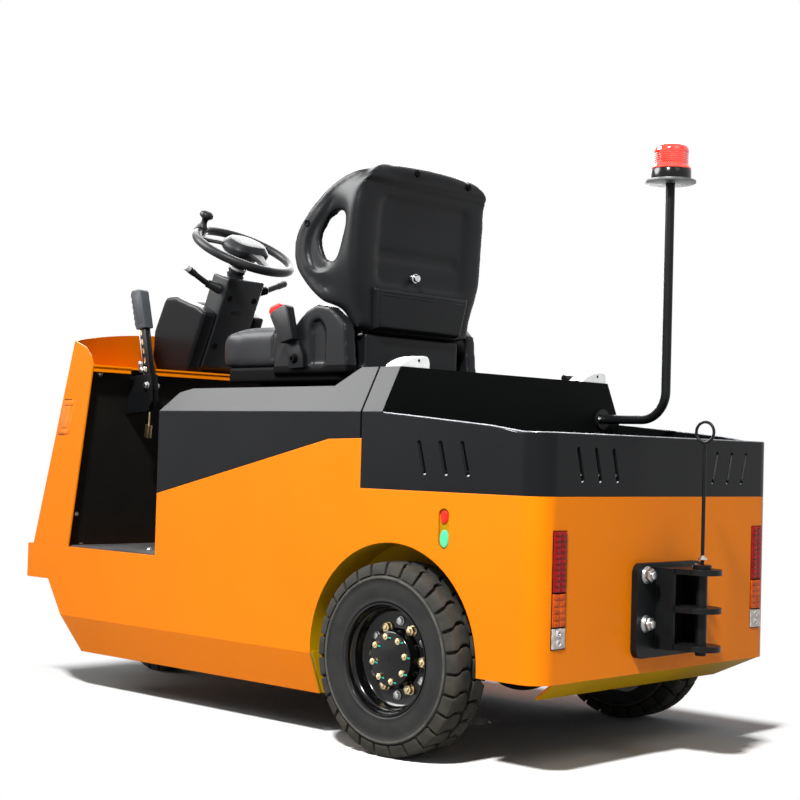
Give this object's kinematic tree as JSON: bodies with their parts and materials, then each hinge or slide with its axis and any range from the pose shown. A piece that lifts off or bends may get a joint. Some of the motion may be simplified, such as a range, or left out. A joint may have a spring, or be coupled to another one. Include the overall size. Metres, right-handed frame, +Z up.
{
  "type": "electric tow tractor",
  "caption": "Ride-on electric tow tractor with a central steered front wheel, driven rear wheels, a tilting seat hood, a rear load tray, a beacon on a pole and a pin towing hitch.",
  "frame": {"origin": "on the ground, under the middle of the overall length and width", "axes": "+X forward, +Y to the driver's left, +Z up"},
  "size_m": [2.0425, 0.95, 1.428],
  "materials": {
    "orange_paint": "gloss sprayed enamel",
    "black_cover": "satin moulded",
    "black_steel": "satin powder coat",
    "liner_black": "matt sheet",
    "floor_grey": "ribbed mat",
    "battery_grey": "satin paint",
    "axle_iron": "painted casting",
    "tyre_black": "solid rubber",
    "rim_black": "gloss black",
    "seat_vinyl": "soft vinyl",
    "seat_shell": "fine grain moulded",
    "control_black": "moulded",
    "zinc": "zinc plated",
    "lamp_red": "clear moulded lens",
    "lamp_amber": "clear moulded lens",
    "lamp_clear": "clear lens",
    "cap_white": "moulded"
  },
  "bodies": {
    "tractor": {"accelerator_pedal": "control_black", "battery_block": "battery_grey", "beacon_base": "control_black", "beacon_lens": "lamp_red", "beacon_pole": "black_steel", "body_shell": "orange_paint", "brake_lever": "control_black", "brake_pedal": "black_steel", "brake_quadrant": "black_steel", "chassis_frame": "black_steel", "column_housing": "control_black", "column_levers": "control_black", "column_neck": "control_black", "cowl_liner": "liner_black", "drive_axle": "axle_iron", "drive_motor": "axle_iron", "floor_plate": "floor_grey", "front_cowl": "orange_paint", "headlamp_left": "lamp_clear", "headlamp_right": "lamp_clear", "hinge_cap_left": "cap_white", "hinge_cap_right": "cap_white", "hood_hinges": "black_steel", "instrument_pod": "control_black", "marker_lamp_left": "lamp_amber", "marker_lamp_right": "lamp_amber", "rear_cover": "black_cover", "side_indicator": "lamp_red", "tail_lamp_left": "lamp_red", "tail_lamp_right": "lamp_red", "tow_hitch": "black_steel"},
    "rear_wheel_left": {"rear_tyre_left": "tyre_black", "rear_rim_left": "rim_black"},
    "rear_wheel_right": {"rear_tyre_right": "tyre_black", "rear_rim_right": "rim_black"},
    "front_fork": {"steer_fork": "black_steel"},
    "front_wheel": {"front_tyre": "tyre_black", "front_rim": "rim_black"},
    "hand_wheel": {"steering_wheel": "control_black", "spinner_knob": "control_black"},
    "hood": {"battery_hood": "black_cover", "seat_base": "seat_shell", "seat_cushion": "seat_vinyl", "seat_back": "seat_shell", "seat_back_pad": "seat_vinyl", "belt_buckle": "control_black"},
    "pin": {"tow_pin": "black_steel"}
  },
  "joints": [
    {"name": "rear_left_spin", "type": "hinge", "parent": "tractor", "child": "rear_wheel_left", "pos_m": [-0.49275, 0.419, 0.2075], "axis": [0, 1, 0], "continuous": true},
    {"name": "rear_right_spin", "type": "hinge", "parent": "tractor", "child": "rear_wheel_right", "pos_m": [-0.49275, -0.419, 0.2075], "axis": [0, 1, 0], "continuous": true},
    {"name": "steering", "type": "hinge", "parent": "tractor", "child": "front_fork", "pos_m": [0.83225, 0, 0.35], "axis": [0, 0, 1], "range_deg": [-70, 70]},
    {"name": "front_spin", "type": "hinge", "parent": "front_fork", "child": "front_wheel", "pos_m": [0.83225, 0, 0.165], "axis": [0, 1, 0], "continuous": true},
    {"name": "hand_wheel_turn", "type": "hinge", "parent": "tractor", "child": "hand_wheel", "pos_m": [0.54525, 0, 1.203], "axis": [-0.4695, 0, 0.8829], "range_deg": [-350, 350]},
    {"name": "hood_open", "type": "hinge", "parent": "tractor", "child": "hood", "pos_m": [-0.37425, 0, 0.85], "axis": [0, -1, 0], "range_deg": [0, 60]},
    {"name": "tow_pin_lift", "type": "slide", "parent": "tractor", "child": "pin", "axis": [0, 0, 1], "range_m": [0, 0.21]}
  ],
  "couplings": [
    {"joint": "hand_wheel_turn", "follows": "steering", "ratio": 5}
  ]
}
